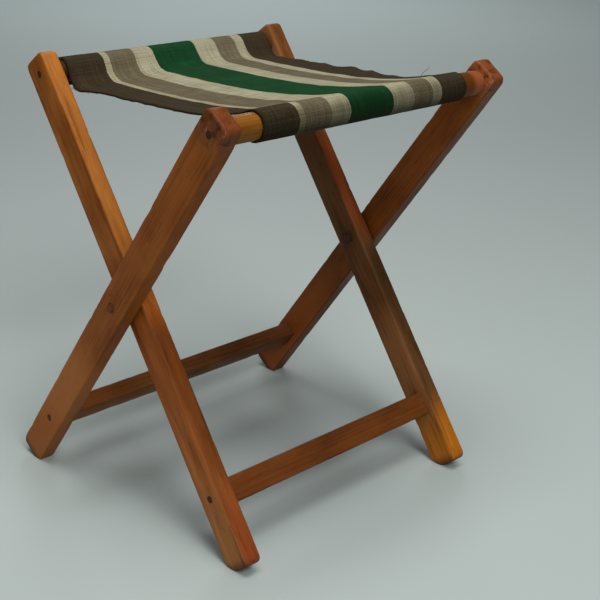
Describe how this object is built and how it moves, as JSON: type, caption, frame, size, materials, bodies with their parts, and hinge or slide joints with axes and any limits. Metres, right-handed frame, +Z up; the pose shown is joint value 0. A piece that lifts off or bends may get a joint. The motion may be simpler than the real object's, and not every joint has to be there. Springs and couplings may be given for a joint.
{
  "type": "folding stool",
  "caption": "Wooden X-frame folding stool: flat legs crossed on pivot rivets, round seat rails, low stretchers and a sagging striped canvas seat.",
  "frame": {"origin": "on the floor, under the middle of the open stool", "axes": "+X along the seat rails from the left legs to the right ones, +Y from the front rail to the back rail, +Z up"},
  "size_m": [0.3632, 0.3374, 0.4369],
  "materials": {
    "leg_wood": "worn warm brown varnish over straight-grained wood",
    "rail_wood": "worn orange varnish, turned dowel",
    "stretcher_wood": "dark brown varnish",
    "canvas": "coarse woven canvas, striped green, cream, taupe and charcoal",
    "dark_iron": "dull dark iron, slightly rusted",
    "washer_steel": "dull steel"
  },
  "bodies": {
    "outer_frame": {"outer_leg_left": "leg_wood", "outer_leg_right": "leg_wood", "front_rail": "rail_wood", "rear_stretcher": "stretcher_wood", "seat_canvas": "canvas", "pivot_rivet_left": "dark_iron", "pivot_rivet_right": "dark_iron", "pivot_spacer_left": "washer_steel", "pivot_spacer_right": "washer_steel", "pivot_burr_left": "washer_steel", "pivot_burr_right": "washer_steel", "front_rail_nail_left": "dark_iron", "front_rail_nail_right": "dark_iron", "rear_stretcher_nail_left": "dark_iron", "rear_stretcher_nail_right": "dark_iron", "front_tack_1": "dark_iron", "front_tack_2": "dark_iron", "front_tack_3": "dark_iron", "front_tack_4": "dark_iron", "front_tack_5": "dark_iron"},
    "inner_frame": {"inner_leg_left": "leg_wood", "inner_leg_right": "leg_wood", "back_rail": "rail_wood", "front_stretcher": "stretcher_wood", "back_rail_nail_left": "dark_iron", "back_rail_nail_right": "dark_iron", "front_stretcher_nail_left": "dark_iron", "front_stretcher_nail_right": "dark_iron", "back_tack_1": "dark_iron", "back_tack_2": "dark_iron", "back_tack_3": "dark_iron", "back_tack_4": "dark_iron", "back_tack_5": "dark_iron"}
  },
  "joints": [
    {"name": "fold", "type": "hinge", "parent": "outer_frame", "child": "inner_frame", "pos_m": [0, 0, 0.2215], "axis": [1, 0, 0], "range_deg": [0, 63.5], "deforming": ["seat_canvas"]}
  ]
}
